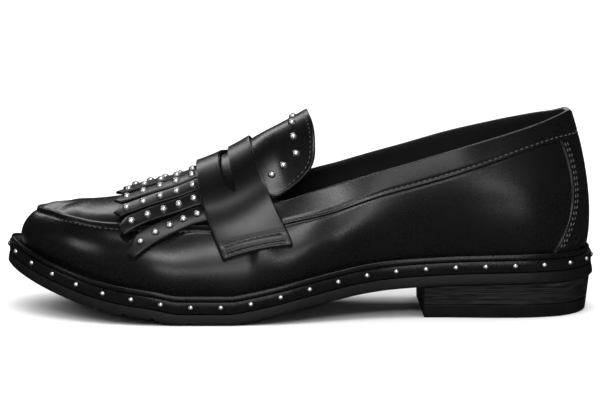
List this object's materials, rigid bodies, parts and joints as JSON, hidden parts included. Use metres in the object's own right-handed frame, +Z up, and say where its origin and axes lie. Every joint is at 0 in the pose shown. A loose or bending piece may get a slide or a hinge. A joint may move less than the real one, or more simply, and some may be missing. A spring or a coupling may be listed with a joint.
{
  "type": "kiltie loafer",
  "caption": "Left shoe: leather loafer with a slotted saddle strap over a studded kiltie fringe and a tongue flap, on a welted sole with a studded edge and a low stacked heel.",
  "frame": {"origin": "on the floor under the middle of the shoe's bounding box", "axes": "+X from toe to heel, +Y to the medial (inner) side, +Z up; the lateral (outer) side faces -Y"},
  "size_m": [0.272, 0.0953, 0.0937],
  "materials": {
    "calf": "smooth black calf, semi-gloss",
    "lining": "matt black lining leather",
    "edge_leather": "black dyed edge, satin",
    "sole_rubber": "matt black",
    "stacked_heel": "black dyed stack with fine level lines",
    "polished_stud": "polished silver-coloured dome"
  },
  "bodies": {
    "root": {"upper": "calf", "insole": "lining", "welt": "edge_leather", "midsole": "edge_leather", "outsole": "sole_rubber", "heel_block": "stacked_heel", "top_lift": "sole_rubber", "kiltie": "calf", "saddle_strap": "calf", "tongue": "calf", "kiltie_stud_1_1": "polished_stud", "kiltie_stud_1_2": "polished_stud", "kiltie_stud_1_3": "polished_stud", "kiltie_stud_1_4": "polished_stud", "kiltie_stud_1_5": "polished_stud", "kiltie_stud_2_1": "polished_stud", "kiltie_stud_2_2": "polished_stud", "kiltie_stud_2_3": "polished_stud", "kiltie_stud_2_4": "polished_stud", "kiltie_stud_2_5": "polished_stud", "kiltie_stud_3_1": "polished_stud", "kiltie_stud_3_2": "polished_stud", "kiltie_stud_3_3": "polished_stud", "kiltie_stud_3_4": "polished_stud", "kiltie_stud_3_5": "polished_stud", "kiltie_stud_4_1": "polished_stud", "kiltie_stud_4_2": "polished_stud", "kiltie_stud_4_3": "polished_stud", "kiltie_stud_4_4": "polished_stud", "kiltie_stud_4_5": "polished_stud", "kiltie_stud_5_1": "polished_stud", "kiltie_stud_5_2": "polished_stud", "kiltie_stud_5_3": "polished_stud", "kiltie_stud_5_4": "polished_stud", "kiltie_stud_5_5": "polished_stud", "kiltie_stud_6_1": "polished_stud", "kiltie_stud_6_2": "polished_stud", "kiltie_stud_6_3": "polished_stud", "kiltie_stud_6_4": "polished_stud", "kiltie_stud_6_5": "polished_stud", "kiltie_stud_7_1": "polished_stud", "kiltie_stud_7_2": "polished_stud", "kiltie_stud_7_3": "polished_stud", "kiltie_stud_7_4": "polished_stud", "kiltie_stud_7_5": "polished_stud", "tongue_stud_1": "polished_stud", "tongue_stud_2": "polished_stud", "tongue_stud_3": "polished_stud", "tongue_stud_4": "polished_stud", "tongue_stud_5": "polished_stud", "tongue_stud_6": "polished_stud", "tongue_stud_7": "polished_stud", "tongue_stud_8": "polished_stud", "tongue_stud_9": "polished_stud"}
  },
  "joints": []
}
